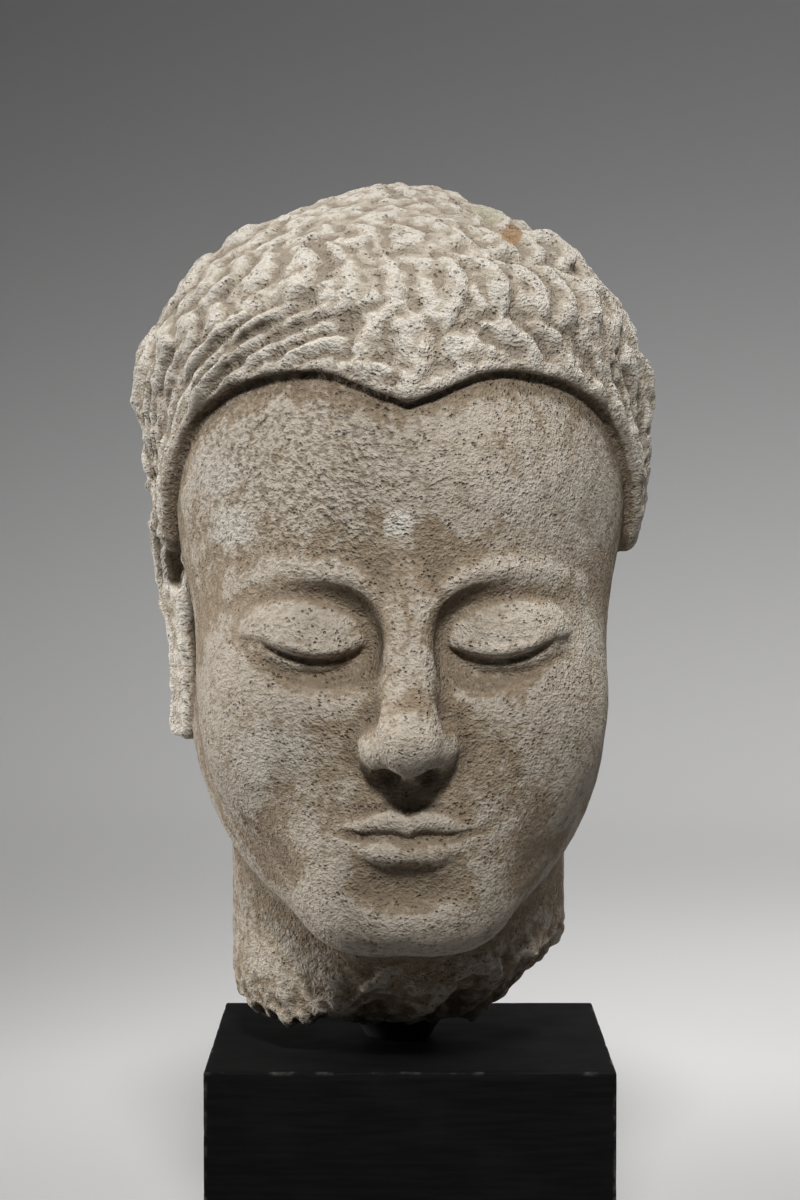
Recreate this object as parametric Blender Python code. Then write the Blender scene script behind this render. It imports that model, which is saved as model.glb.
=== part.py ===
"""A life-size stucco head with waved hair, broken off at the neck, on the post and block that hold it up.

The frame is in metres with +Z up. The origin is the middle of the block's underside, and the face looks
along -Y. The head is laid out by the twelve-finger canon: the face measures twelve fingers from hairline
to chin, four for the forehead, four for the nose and four for the mouth and chin. The head's forms are
given in those fingers, from an origin midway between the eyes' corners, on the axis of the skull.
"""

import math

import bmesh
import bpy
import numpy as np
from mathutils import Matrix, Vector, noise

# The mount, in metres
BLOCK_WIDTH = 0.140
BLOCK_DEPTH = 0.140
BLOCK_HEIGHT = 0.110
BLOCK_EDGE = 0.0008
POST_HEIGHT = 0.008
POST_TOP_RADIUS = 0.0165
POST_FOOT_RADIUS = 0.0115
SEAT_GAP = 0.0003

# The head, in metres and degrees
FACE_HEIGHT = 0.1855
HEAD_SIDEWAYS = -0.004
HEAD_NOD = 4.0
HEAD_TURN = 1.8
SEAT_MARGIN = 0.002

FINGER = FACE_HEIGHT / 12

# Levels, half widths and depths on the head, in fingers
NOSE_LEVEL = -3.05
MOUTH_LEVEL = -4.38
EYE_OUT = 2.0
EYE_LEVEL = -0.15
EYE_HALF_WIDTH = 1.15
LID_DEPTH = 0.2
LID_SLIT = 0.12
NECK_HALF_WIDTH = 3.85
NECK_HALF_DEPTH = 3.7
NECK_BACK = 0.8
NECK_BOTTOM = -9.7
HAIR_EDGE = 0.34
HAIR_SWELL = 0.55
LOCK_RELIEF = 0.25
LOCK_PITCH = 1.0
LOCK_BOW = 0.62
COURSE = 1.45
CROWN_REACH = 6.8

# The curls at the parting: sideways, up from the hairline, half length, half width, lean in degrees and bow
CURLS = (
    (-0.75, 1.0, 0.85, 0.42, -28, -0.2),
    (1.15, 0.6, 0.8, 0.48, 74, 0.15),
    (2.25, 0.6, 0.85, 0.48, 62, 0.12),
    (3.3, 0.62, 0.8, 0.44, 48, 0.12),
    (0.75, 1.85, 0.8, 0.44, 12, 0.45),
    (1.7, 1.7, 0.8, 0.42, 25, 0.4),
    (-0.5, 2.1, 0.8, 0.42, 5, 0.45),
    (-1.45, 1.95, 0.8, 0.4, 5, 0.45),
    (0.0, 0.78, 0.85, 0.7, 4, 0.22),
)

# The mesh that the head is carved from, in metres, and the faces that it keeps
ROUGH_CELL = 0.0045
FINE_CELL = 0.0021
HEAD_TRIANGLES = 9300


def length(vectors):
    return np.sqrt((vectors * vectors).sum(axis=-1))


def join(a, b, round_by):
    """The nearer of two surfaces, with the valley between them filled to that radius."""
    share = np.clip(0.5 + 0.5 * (b - a) / round_by, 0, 1)
    return b + (a - b) * share - round_by * share * (1 - share)


def cut(a, b, round_by):
    """Surface a with b taken out of it, the rim rounded to that radius."""
    return -join(-a, b, round_by)


def ramp(values, start, end):
    share = np.clip((values - start) / (end - start), 0, 1)
    return share * share * (3 - 2 * share)


def egg(points, centre, radii):
    scaled = (points - centre) / radii
    reach = length(scaled)
    return reach * (reach - 1) / np.maximum(length(scaled / radii), 1e-9)


def limb(points, start, end):
    """A round bar between two stations, each x, y, z and radius."""
    a, b = np.array(start[:3]), np.array(end[:3])
    along = b - a
    share = np.clip((points - a) @ along / (along @ along), 0, 1)
    radius = start[3] + (end[3] - start[3]) * share
    return length(points - a - share[:, None] * along) - radius


def roll(points, stations):
    """Round bars end to end through the stations."""
    found = limb(points, stations[0], stations[1])
    for start, end in zip(stations[1:], stations[2:]):
        found = np.minimum(found, limb(points, start, end))
    return found


def curve_through(values, knots):
    """A smooth curve through (value, height) knots."""
    xs, ys = np.array(knots, float).T
    slopes = np.gradient(ys, xs)
    i = np.clip(np.searchsorted(xs, values) - 1, 0, len(xs) - 2)
    span = xs[i + 1] - xs[i]
    t = np.clip((values - xs[i]) / span, 0, 1)
    return (
        ys[i] * (1 + 2 * t) * (1 - t) ** 2
        + slopes[i] * span * t * (1 - t) ** 2
        + ys[i + 1] * t * t * (3 - 2 * t)
        + slopes[i + 1] * span * t * t * (t - 1)
    )


def skull_form(points):
    """The skull, face and jaw before any feature is cut. Points are mirrored to the +X side."""
    form = egg(points, (0, 0.75, 2.6), (5.2, 6.35, 5.55))
    form = join(form, egg(points, (0, -1.15, -1.5), (4.62, 4.65, 5.75)), 1.0)
    form = join(form, limb(points, (3.35, 0.6, -3.2, 1.0), (1.3, -4.1, -6.0, 0.9)), 1.8)
    form = join(form, egg(points, (0, -4.5, -5.95), (1.6, 1.25, 1.15)), 1.3)
    return join(form, egg(points, (2.5, -3.45, -2.1), (1.6, 1.5, 2.2)), 1.4)


# The fullness round the mouth: centre and radii
MUZZLE = ((0, -4.6, MOUTH_LEVEL + 0.1), (2.2, 1.05, 1.7))


def muzzle_form(points):
    """The skull with the fullness round the mouth."""
    return join(skull_form(points), egg(points, *MUZZLE), 1.0)


def seated(form, knots, count=11):
    """A smooth row of stations through (x, z, radius, proud) knots, each standing that proud of the form."""
    x, *columns = np.array(knots, float).T
    across = np.linspace(x[0], x[-1], count)
    levels, radii, prouds = (curve_through(across, list(zip(x, column))) for column in columns)
    depths = np.linspace(-8, 0, 801)
    found = []
    for x, z, radius, proud in zip(across, levels, radii, prouds):
        sight_line = np.stack([np.full_like(depths, x), depths, np.full_like(depths, z)], axis=1)
        front = depths[np.argmax(form(sight_line) < 0)]
        found.append((x, front - proud + radius, z, radius))
    return found


# The brow, the lips and the line between them: sideways, level, radius and how far it stands proud
BROW = seated(skull_form, ((0.45, 0.0, 0.2, 0.26), (0.9, 0.78, 0.16, 0.2), (1.7, 1.15, 0.13, 0.12),
                           (2.7, 1.12, 0.1, 0.0), (3.6, 0.7, 0.1, -0.3)), 14)
UPPER_LIP = seated(muzzle_form, ((0, MOUTH_LEVEL + 0.24, 0.23, 0.24), (0.3, MOUTH_LEVEL + 0.33, 0.22, 0.25),
                                 (0.8, MOUTH_LEVEL + 0.24, 0.2, 0.17), (1.7, MOUTH_LEVEL + 0.12, 0.06, -0.12)))
LOWER_LIP = seated(muzzle_form, ((0, MOUTH_LEVEL - 0.44, 0.34, 0.25), (0.55, MOUTH_LEVEL - 0.4, 0.31, 0.21),
                                 (1.1, MOUTH_LEVEL - 0.2, 0.2, 0.04), (1.6, MOUTH_LEVEL + 0.02, 0.08, -0.12)))
PARTING = seated(muzzle_form, ((0, MOUTH_LEVEL - 0.07, 0.07, 0.25), (0.35, MOUTH_LEVEL - 0.01, 0.07, 0.24),
                               (0.9, MOUTH_LEVEL - 0.03, 0.07, 0.14), (1.75, MOUTH_LEVEL + 0.16, 0.05, -0.04)))


def brow_and_socket(form, points):
    """The arched brow and the hollow under it."""
    form = join(form, roll(points, BROW), 0.5)
    return cut(form, egg(points, (EYE_OUT, -6.2, -0.22), (1.85, 1.5, 1.26)), 0.4)


def lid_edge(across):
    """Level of the upper lid's edge, from -1 at the inner corner to 1 at the outer one. It droops between."""
    return EYE_LEVEL - 0.14 - 0.3 * (1 - across * across) + 0.08 * across


def eye(form, points):
    """The lowered lids over the eyeball: the upper one stands proud of the lower, with a fine line between."""
    centre, radii = (EYE_OUT, -4.3, EYE_LEVEL - 0.13), (1.36, 1.0, 0.88)
    across = np.clip((points[:, 0] - EYE_OUT) / EYE_HALF_WIDTH, -1, 1)
    over_edge = points[:, 2] - lid_edge(across)
    lids = LID_DEPTH * (0.55 + 0.45 * ramp(over_edge, -0.1, 0.04))
    rim = 0.5 * LID_DEPTH * np.exp(-((over_edge - 0.14) / 0.12) ** 2)
    line = LID_SLIT * np.exp(-((over_edge + 0.1) / 0.08) ** 2)
    return join(form, egg(points, centre, radii) - lids - (rim - line) * (1 - across ** 4), 0.12)


def nose(form, points):
    """A straight bridge that widens downwards, the tip, the wings and the two nostrils."""
    form = join(form, limb(points, (0, -5.25, 0.9, 0.42), (0, -6.4, -2.1, 0.62)), 0.5)
    form = join(form, egg(points, (0, -6.5, -2.3), (0.64, 0.78, 0.6)), 0.4)
    form = join(form, egg(points, (0.6, -5.75, -2.48), (0.46, 0.8, 0.46)), 0.3)
    form = join(form, limb(points, (0, -6.7, -2.6, 0.24), (0, -5.6, NOSE_LEVEL + 0.08, 0.26)), 0.25)
    return cut(form, egg(points, (0.42, -6.05, NOSE_LEVEL), (0.24, 0.42, 0.28)), 0.12)


def mouth(form, points):
    """The two lips, the line between them and the hollows above and below."""
    form = join(form, egg(points, *MUZZLE), 1.0)
    form = cut(form, limb(points, (0, -6.12, NOSE_LEVEL - 0.2, 0.16), (0, -6.32, MOUTH_LEVEL + 0.5, 0.2)), 0.25)
    form = join(form, roll(points, UPPER_LIP), 0.14)
    form = join(form, roll(points, LOWER_LIP), 0.14)
    form = cut(form, roll(points, PARTING), 0.1)
    return cut(form, egg(points, (0, -6.25, MOUTH_LEVEL - 1.2), (1.4, 0.72, 0.5)), 0.6)


def neck(points):
    """An oval neck, its edge crumbled away towards the break."""
    x, y = points[:, 0] / NECK_HALF_WIDTH, (points[:, 1] - NECK_BACK) / NECK_HALF_DEPTH
    spread = 1 - 0.06 * ramp(-points[:, 2], 8.3, 9.9)
    return (np.sqrt(x * x + y * y) - spread) * NECK_HALF_DEPTH


def hairline(points):
    """How far a point is above the edge of the hair, in fingers. The edge dips to a peak over the brow."""
    knots = ((0, 4.78), (6, 5.0), (17, 5.37), (32, 5.3), (48, 4.82), (62, 3.9), (72, 2.6), (80, 1.35),
             (85, 1.15), (90, 2.0), (98, 2.7), (108, 2.1), (118, 0.2), (135, -1.6), (160, -2.7), (180, -3.0))
    turn = np.degrees(np.arctan2(np.abs(points[:, 0]), -(points[:, 1] - 0.75)))
    height = curve_through(turn, knots)
    steepness = (curve_through(turn + 1, knots) - curve_through(turn - 1, knots)) / 2 / (5.3 * math.radians(1))
    return (points[:, 2] - height) / np.sqrt(1 + steepness * steepness)


def hair_cap(base, points):
    """The hair: a thin edge that swells into a full dome, with the low mound on top."""
    above = hairline(points)
    dome = join(egg(points, (0, 0.85, 3.15), (5.72, 6.8, 5.6)),
                egg(points, (-0.15, 0.9, 4.55), (5.75, 6.3, 4.6)), 0.3)
    swell = HAIR_SWELL * (1 - ramp(above, 0.1, 1.9))
    cap = cut(join(base - HAIR_EDGE, dome + swell, 0.3), above, 0.2)
    return join(cap, egg(points, (0, 1.1, 6.9), (2.5, 2.8, 2.4)), 0.7)


def ear(points):
    """A long-lobed ear, its plate standing off the head along its back edge."""
    q = points - np.array((4.75, 1.0, 0.9))
    lean = math.radians(24)
    out = q[:, 0] * math.cos(lean) - q[:, 1] * math.sin(lean)
    back = q[:, 0] * math.sin(lean) + q[:, 1] * math.cos(lean)
    q = np.stack([out, back, q[:, 2]], axis=1)
    plate = egg(q, (0.15, 0.3, 0), (0.32, 1.15, 1.5))
    lobe = roll(q, [(0.15, 0.35, -0.8, 0.5), (0.15, 0.05, -2.2, 0.48), (0.1, 0.0, -3.7, 0.55)])
    lobe = np.maximum(lobe, np.abs(q[:, 0] - 0.12) - 0.3)
    form = join(plate, lobe, 0.3)
    form = cut(form, egg(q, (0.55, 0.15, 0.05), (0.42, 0.68, 0.95)), 0.12)
    rim = [(0.25, -0.55, 0.1, 0.16), (0.3, -0.6, 0.75, 0.2), (0.35, -0.1, 1.35, 0.22), (0.4, 0.75, 1.2, 0.23),
           (0.4, 1.15, 0.5, 0.22), (0.35, 1.05, -0.4, 0.2), (0.3, 0.7, -1.2, 0.2)]
    inner = [(0.35, 0.3, 0.75, 0.13), (0.4, 0.6, 0.1, 0.15), (0.38, 0.4, -0.7, 0.16), (0.3, -0.1, -0.95, 0.16)]
    form = join(form, roll(q, rim), 0.12)
    return join(form, roll(q, inner), 0.12)


def nodded(points):
    """Points of the upright frame, in fingers, as the tilted and turned head sees them."""
    turn = Matrix.Rotation(math.radians(HEAD_TURN), 3, "Z") @ Matrix.Rotation(math.radians(HEAD_NOD), 3, "X")
    pivot = np.array((0, NECK_BACK, -4.0))
    return (points - pivot) @ np.array(turn) + pivot


def head_form(points):
    """Signed distance to the head's surface, about, in fingers."""
    q = nodded(points)
    mirrored = np.abs(q) * (1, 0, 0) + q * (0, 1, 1)
    base = join(skull_form(mirrored), np.maximum(neck(points), q[:, 2] + 1.5), 0.55)
    form = base.copy()
    front = np.flatnonzero((q[:, 1] < -2) & (q[:, 2] > -7) & (q[:, 2] < 2.5))
    for feature in (brow_and_socket, mouth, eye, nose):
        form[front] = feature(form[front], mirrored[front])
    form = join(form, egg(q, (0, -5.42, 1.8), (0.38, 0.2, 0.38)), 0.05)
    form = join(form, hair_cap(base, q), 0.06)
    side = np.flatnonzero(q[:, 0] < -3)
    form[side] = join(form[side], ear(q[side] * (-1, 1, 1)), 0.12)
    scar = np.flatnonzero((q[:, 0] > 3) & (np.abs(q[:, 1] - 1.1) < 1.6) & (np.abs(q[:, 2] + 0.2) < 3.2))
    broken = egg(q[scar], (4.38, 1.1, -0.2), (0.42, 0.75, 2.3)) + 0.14 * fractal(q[scar], 1.9)
    form[scar] = join(form[scar], broken, 0.15)
    low = np.flatnonzero(points[:, 2] < NECK_BOTTOM + 3)
    form[low] = np.maximum(form[low], broken_edge(points[low]) - points[low, 2])
    return form


def broken_edge(points):
    """Level of the break under the neck: flat over the post, rising to a ragged rim."""
    x, y = points[:, 0], points[:, 1] - NECK_BACK
    out = np.hypot(x, y)
    seat = (POST_TOP_RADIUS + SEAT_MARGIN) / FINGER
    rise = np.clip((out - seat) / (NECK_HALF_WIDTH - seat), 0, 1.3) ** 1.5
    rough = fractal(points * (1, 1, 0), 0.9) * 0.45 + fractal(points * (1, 1, 0), 2.6) * 0.2
    rim = 1.25 + 0.75 * x / np.maximum(out, 0.1) + 0.15 * y / np.maximum(out, 0.1)
    return NECK_BOTTOM + rise * rim + rough * ramp(out, seat, seat + 0.8)


def fractal(points, scale):
    return np.array([noise.noise(Vector(point)) for point in points * scale])


def chance(place, row):
    """A number from 0 to 1 that is always the same for one lock of one row."""
    return np.modf(np.abs(np.sin(place * 12.9898 + row * 78.233)) * 43758.5453)[0]


def ridge(share, crest):
    """The height across one lock: a long slope up to the crest, then a short steep one."""
    up = np.where(share < crest, share / crest, (1 - share) / (1 - crest))
    return up * up * (3 - 2 * up)


def ends(along, taper):
    """The height along one lock, which falls away at both ends. Along runs from -0.5 to 0.5."""
    return 0.25 + 0.75 * ramp(1 - np.abs(2 * along), 0, taper)


def courses(turn, fall, reach, drift, warp):
    """Rings of locks down from the crown, every lock bowed towards +X like a closing bracket."""
    depth = fall * reach / COURSE + 0.3 * drift - 0.2
    row = np.floor(depth)
    along = depth - row - 0.5
    middle = (row + 0.7) * COURSE / CROWN_REACH
    count = np.maximum(6, np.round(2 * math.pi * CROWN_REACH * np.sin(np.clip(middle, 0.2, 2.6)) / LOCK_PITCH))
    bow = LOCK_BOW * (1 - 4 * along * along)
    phase = turn / (2 * math.pi) * count + 0.5 * row - bow + 0.4 * warp
    place = np.floor(phase)
    height = 0.65 + 0.45 * chance(place % count, row)
    return height * ridge(phase - place, 0.7) * ends(along, 0.5) * (0.3 + 0.7 * ramp(fall, 0.2, 0.65))


def fringe(side, out, above, drift, warp):
    """The locks along the hairline: long strands swept back on -X, shorter curls on +X."""
    left = side < 0
    slope, pitch, run = np.where(left, 0.3, 0.75), np.where(left, 0.38, 0.66), np.where(left, 2.8, 1.5)
    phase = (above + slope * out + 0.12 * drift) / (pitch * np.sqrt(1 + slope * slope))
    row = np.floor(phase)
    stretch = out / run + 0.5 * (row % 2) + 0.3 * warp
    place = np.floor(stretch)
    height = 0.5 + 0.5 * chance(place + side * 3, row)
    return height * ridge(phase - row, 0.6) * ends(stretch - place - 0.5, 0.5)


def lock_relief(points, above):
    """Height of the carved locks over the cap, as a share of the tallest."""
    q = points - np.array((0, 0.8, 1.9))
    turn = np.arctan2(q[:, 0], -q[:, 1])
    level = np.hypot(q[:, 0], q[:, 1])
    drift, warp = fractal(q, 0.4), fractal(q + 9, 0.55)
    side, out = np.sign(q[:, 0]), np.abs(turn) * level
    in_front = 1 - ramp(np.abs(turn), math.radians(70), math.radians(90))
    height = courses(turn, np.arctan2(level, q[:, 2]), length(q), drift, warp)
    near_edge = in_front * (1 - ramp(above + 0.2 * drift - 0.25 * (side < 0), 1.0, 1.35))
    height = height * (1 - near_edge) + fringe(side, out, above, drift, warp) * near_edge
    for x, lift, half, width, lean, bow in CURLS:
        a, b = q[:, 0] - x, lift - above
        lean = math.radians(lean)
        near = np.flatnonzero((np.abs(a) < 1.6) & (np.abs(b) < 1.6) & (q[:, 1] < 0))
        across = a[near] * math.cos(lean) - b[near] * math.sin(lean)
        along = a[near] * math.sin(lean) + b[near] * math.cos(lean)
        curl, cover = crescent(across, along, half, width, bow)
        height[near] = height[near] * (1 - cover) + curl
    return height


def crescent(across, along, half, width, bow):
    """One bowed lock seen from above: its height, and how far it hides what is under it."""
    share = np.clip(along / half, -1, 1)
    leaf = 1 - share * share
    side = np.clip((across - bow * (leaf - 0.5)) / (width * (0.35 + 0.65 * leaf)), -1, 1)
    cover = (1 - side * side) * leaf
    return 1.15 * ridge((side + 1) / 2, 0.56) * np.sqrt(leaf), np.clip(2 * cover, 0, 1)


def evaluated(mesh, *modifiers):
    """A new mesh: this one after the named modifiers, each (type, settings)."""
    holder = bpy.data.objects.new("carving", mesh)
    bpy.context.scene.collection.objects.link(holder)
    for kind, settings in modifiers:
        modifier = holder.modifiers.new(kind.title(), kind)
        for name, value in settings.items():
            setattr(modifier, name, value)
    made = bpy.data.meshes.new_from_object(holder.evaluated_get(bpy.context.evaluated_depsgraph_get()))
    bpy.data.objects.remove(holder)
    return made


def coordinates(mesh):
    found = np.empty(len(mesh.vertices) * 3, np.float32)
    mesh.vertices.foreach_get("co", found)
    return found.reshape(-1, 3).astype(float)


def set_coordinates(mesh, points):
    mesh.vertices.foreach_set("co", points.astype(np.float32).ravel())
    mesh.update()


def normals(mesh):
    found = np.empty(len(mesh.vertices) * 3, np.float32)
    mesh.vertex_normals.foreach_get("vector", found)
    return found.reshape(-1, 3).astype(float)


def onto(form, points, reach=0.25, probe=0.02):
    """The points moved towards the form's surface, along its slope, by at most that reach."""
    distance = form(points)
    slope = np.stack([form(points + probe * axis) - distance for axis in np.eye(3)], axis=1) / probe
    steep = np.maximum(length(slope), 0.35)[:, None]
    return points - np.clip(distance[:, None] / steep, -reach, reach) * slope / steep


def carve(mesh, form, passes):
    """Brings every vertex onto the form's surface, evening out their spacing on the way."""
    points = coordinates(mesh)
    ends = np.empty(len(mesh.edges) * 2, np.int32)
    mesh.edges.foreach_get("vertices", ends)
    here, there = np.concatenate([ends.reshape(-1, 2), ends.reshape(-1, 2)[:, ::-1]]).T
    around = np.bincount(here, minlength=len(points))[:, None]
    for _ in range(passes):
        sums = [np.bincount(here, points[there, axis], len(points)) for axis in range(3)]
        points = 0.5 * points + 0.5 * np.stack(sums, axis=1) / around
        points = onto(form, points)
    set_coordinates(mesh, onto(form, points))


def rough_block():
    """Overlapping solids that just hold the skull, face, nose, ear and neck, to be carved down. In fingers."""
    bm = bmesh.new()
    for centre, radii in (((0, 0.75, 2.9), (6.3, 7.5, 7.1)), ((0, -1.2, -1.6), (5.3, 5.4, 6.2)),
                          ((0, -4.4, -1.6), (3.6, 2.6, 5.4)), ((0, -6.0, -2.0), (1.4, 1.7, 2.4)),
                          ((-5.3, 1.2, 0.9), (1.5, 2.0, 2.3)), ((-5.2, 1.1, -2.0), (1.3, 1.4, 2.4))):
        place = Matrix.Translation(centre) @ Matrix.Diagonal((*radii, 1))
        bmesh.ops.create_icosphere(bm, subdivisions=4, radius=1, matrix=place)
    height = -NECK_BOTTOM - 2.7
    radius = max(NECK_HALF_WIDTH, NECK_HALF_DEPTH) + 0.25
    place = Matrix.Translation((0, NECK_BACK, NECK_BOTTOM + height / 2))
    bmesh.ops.create_cone(bm, cap_ends=True, segments=48, radius1=radius, radius2=radius, depth=height,
                          matrix=place)
    mesh = bpy.data.meshes.new("rough")
    bm.to_mesh(mesh)
    bm.free()
    return mesh


def head_mesh():
    mesh = rough_block()
    for cell, passes in ((ROUGH_CELL, 20), (FINE_CELL, 8)):
        mesh = evaluated(mesh, ("REMESH", {"mode": "VOXEL", "voxel_size": cell / FINGER}))
        carve(mesh, head_form, passes)
    points = coordinates(mesh)
    q = nodded(points)
    above = hairline(q)
    wear = 0.85 + 0.9 * fractal(q, 0.5)
    relief = LOCK_RELIEF * wear * lock_relief(q, above) * ramp(above, -0.02, 0.25)
    set_coordinates(mesh, points + normals(mesh) * relief[:, None])
    return mesh


def finish(name, mesh, paint):
    mesh.name = name
    mesh.materials.clear()
    mesh.materials.append(paint)
    obj = bpy.data.objects.new(name, mesh)
    bpy.context.scene.collection.objects.link(obj)
    return obj


def material(name, colour, roughness):
    made = bpy.data.materials.new(name)
    made.use_nodes = True
    shader = made.node_tree.nodes["Principled BSDF"]
    shader.inputs["Base Color"].default_value = (*colour, 1)
    shader.inputs["Roughness"].default_value = roughness
    shader.inputs["Metallic"].default_value = 0
    return made


def make_head(stucco):
    mesh = head_mesh()
    eye_line = BLOCK_HEIGHT + POST_HEIGHT + 2 * SEAT_GAP - NECK_BOTTOM * FINGER
    place = Matrix.Translation((HEAD_SIDEWAYS, -NECK_BACK * FINGER, eye_line)) @ Matrix.Scale(FINGER, 4)
    mesh.transform(place)
    mesh.shade_smooth()
    head = finish("head", mesh, stucco)
    thin = head.modifiers.new("Facets", "DECIMATE")
    thin.ratio = HEAD_TRIANGLES / (2 * len(mesh.polygons))
    return head


def make_post(paint):
    bm = bmesh.new()
    place = Matrix.Translation((HEAD_SIDEWAYS, 0, BLOCK_HEIGHT + SEAT_GAP + POST_HEIGHT / 2))
    bmesh.ops.create_cone(bm, cap_ends=True, segments=40, radius1=POST_FOOT_RADIUS, radius2=POST_TOP_RADIUS,
                          depth=POST_HEIGHT, matrix=place)
    mesh = bpy.data.meshes.new("mount_post")
    bm.to_mesh(mesh)
    bm.free()
    mesh.shade_smooth()
    mesh.set_sharp_from_angle(angle=math.radians(40))
    return finish("mount_post", mesh, paint)


def make_block(paint):
    bm = bmesh.new()
    place = Matrix.Translation((0, 0, BLOCK_HEIGHT / 2))
    place = place @ Matrix.Diagonal((BLOCK_WIDTH, BLOCK_DEPTH, BLOCK_HEIGHT, 1))
    bmesh.ops.create_cube(bm, size=1, matrix=place)
    mesh = bpy.data.meshes.new("mount_block")
    bm.to_mesh(mesh)
    bm.free()
    block = finish("mount_block", mesh, paint)
    edge = block.modifiers.new("Edges", "BEVEL")
    edge.width = BLOCK_EDGE
    edge.segments = 2
    return block


def main():
    for obj in list(bpy.data.objects):
        bpy.data.objects.remove(obj)
    stucco = material("stucco", (0.42, 0.36, 0.29), 0.9)
    paint = material("black_paint", (0.012, 0.012, 0.013), 0.55)
    make_head(stucco)
    make_post(paint)
    make_block(paint)


main()
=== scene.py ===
import math

import bmesh
import bpy
import numpy as np
from mathutils import Matrix, Vector, noise


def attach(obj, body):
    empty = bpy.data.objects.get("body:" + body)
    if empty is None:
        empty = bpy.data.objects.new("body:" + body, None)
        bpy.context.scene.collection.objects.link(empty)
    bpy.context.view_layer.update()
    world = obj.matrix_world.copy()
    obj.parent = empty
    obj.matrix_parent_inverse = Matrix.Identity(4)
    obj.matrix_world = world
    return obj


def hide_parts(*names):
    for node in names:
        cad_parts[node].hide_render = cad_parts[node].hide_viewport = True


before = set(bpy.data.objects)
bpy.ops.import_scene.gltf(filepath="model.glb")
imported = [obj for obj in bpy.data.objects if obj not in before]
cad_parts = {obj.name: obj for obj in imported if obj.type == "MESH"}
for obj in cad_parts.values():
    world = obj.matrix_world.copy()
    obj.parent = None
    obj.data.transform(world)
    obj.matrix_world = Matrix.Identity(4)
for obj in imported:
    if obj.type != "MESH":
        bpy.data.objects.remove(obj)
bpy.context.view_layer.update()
scene = bpy.context.scene


# Camera
# A long lens a little over a metre in front of the block, level with the top of the brow.
# It is tipped down by two degrees and a bit, and the block runs out of the bottom of the picture.

CAMERA_PLACE = (-0.0034, -1.130, 0.3137)
CAMERA_PITCH = 2.36
CAMERA_LENS = 94.6

view = bpy.data.cameras.new("camera")
view.lens = CAMERA_LENS
view.sensor_width = 36
view.clip_start = 0.01
camera = bpy.data.objects.new("camera", view)
camera.location = CAMERA_PLACE
camera.rotation_euler = (math.radians(90 - CAMERA_PITCH), 0, 0)
scene.collection.objects.link(camera)
scene.camera = camera


# The block
# A plain block of close-grained wood, sawn square and painted satin black with a brush.
# Its arrises are eased with sandpaper and have rubbed pale in a few places since.

BLOCK_WIDTH = 0.140
BLOCK_HEIGHT = 0.110
BLOCK_EDGE = 0.0008
BLOCK_DENT = 0.0004
BLOCK_CUTS = 31

# The block's colours: the paint in and between the grain, the dust on it and the rubbed wood
BLACKS = ((0.0038, 0.0038, 0.0042, 1), (0.0065, 0.0065, 0.007, 1))
DUST_COLOUR = (0.016, 0.0155, 0.015, 1)
RUBBED_COLOUR = (0.075, 0.07, 0.062, 1)

# How wide its grain, brush marks, dust and rubbed patches are, and how deep the grain shows
GRAIN_WIDTH = 0.0016
BRUSH_WIDTH = 0.0011
DUST_SIZE = 0.03
RUBBED_SIZE = 0.006
PAINT_RELIEF = 0.00012


def start_finish(name):
    """A new material, a short hand for adding a node with its feeds, and one for feeding its surface."""
    made = bpy.data.materials.new(name)
    made.use_nodes = True
    tree = made.node_tree

    def feed(node, feeds):
        for socket, value in feeds.items():
            if isinstance(value, bpy.types.NodeSocket):
                tree.links.new(value, node.inputs[socket])
            else:
                node.inputs[socket].default_value = value

    def add(kind, feeds=None, **settings):
        new = tree.nodes.new("ShaderNode" + kind)
        for key, value in settings.items():
            setattr(new, key, value)
        feed(new, feeds or {})
        return new

    def coat(feeds):
        feed(tree.nodes["Principled BSDF"], feeds)

    return made, add, coat


def cloud(add, where, size, detail=3.0, stretch=(1, 1, 1)):
    """A soft random pattern from 0 to 1, its patches about that size in metres."""
    scaled = add("Mapping", {"Vector": where, "Scale": [s / size for s in stretch]})
    return add("TexNoise", {"Vector": scaled.outputs[0], "Scale": 1.0, "Detail": detail}).outputs["Fac"]


def between(add, value, low, high, start=0.0, end=1.0):
    """The value eased from start to end as it goes from low to high."""
    feeds = {"Value": value, "From Min": low, "From Max": high, "To Min": start, "To Max": end}
    return add("MapRange", feeds, interpolation_type="SMOOTHSTEP").outputs["Result"]


def blend(add, share, under, over):
    """Two colours mixed, with over laid on under by that share."""
    return add("Mix", {0: share, 6: under, 7: over}, data_type="RGBA").outputs[2]


def calculate(add, operation, first, *others):
    """The values taken together in their order, two at a time, or the first one by itself."""
    found = first
    for other in others or (0.0,):
        found = add("Math", {0: found, 1: other}, operation=operation).outputs[0]
    return found


def raised(add, height, depth):
    """How the surface faces once a pattern from 0 to 1 stands up to that depth on it."""
    return add("Bump", {"Height": height, "Distance": depth, "Strength": 1.0}).outputs[0]


def mesh_of(name, bm):
    """The shape as a mesh of that name. The shape itself is spent."""
    mesh = bpy.data.meshes.new(name)
    bm.to_mesh(mesh)
    bm.free()
    return mesh


def make_piece(name, mesh, finish, node):
    """The finished mesh as a piece that stands for one node of the solid model and rides with it."""
    mesh.name = name
    mesh.materials.clear()
    mesh.materials.append(finish)
    piece = bpy.data.objects.new(name, mesh)
    scene.collection.objects.link(piece)
    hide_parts(node)
    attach(piece, "root")
    return piece


def ease(bm, edges, width):
    """Rounds the edges over, as sandpaper or a lathe tool does."""
    bmesh.ops.bevel(bm, geom=edges, offset=width, offset_type="OFFSET", segments=3, profile=0.5,
                    affect="EDGES", material=-1)


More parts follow.
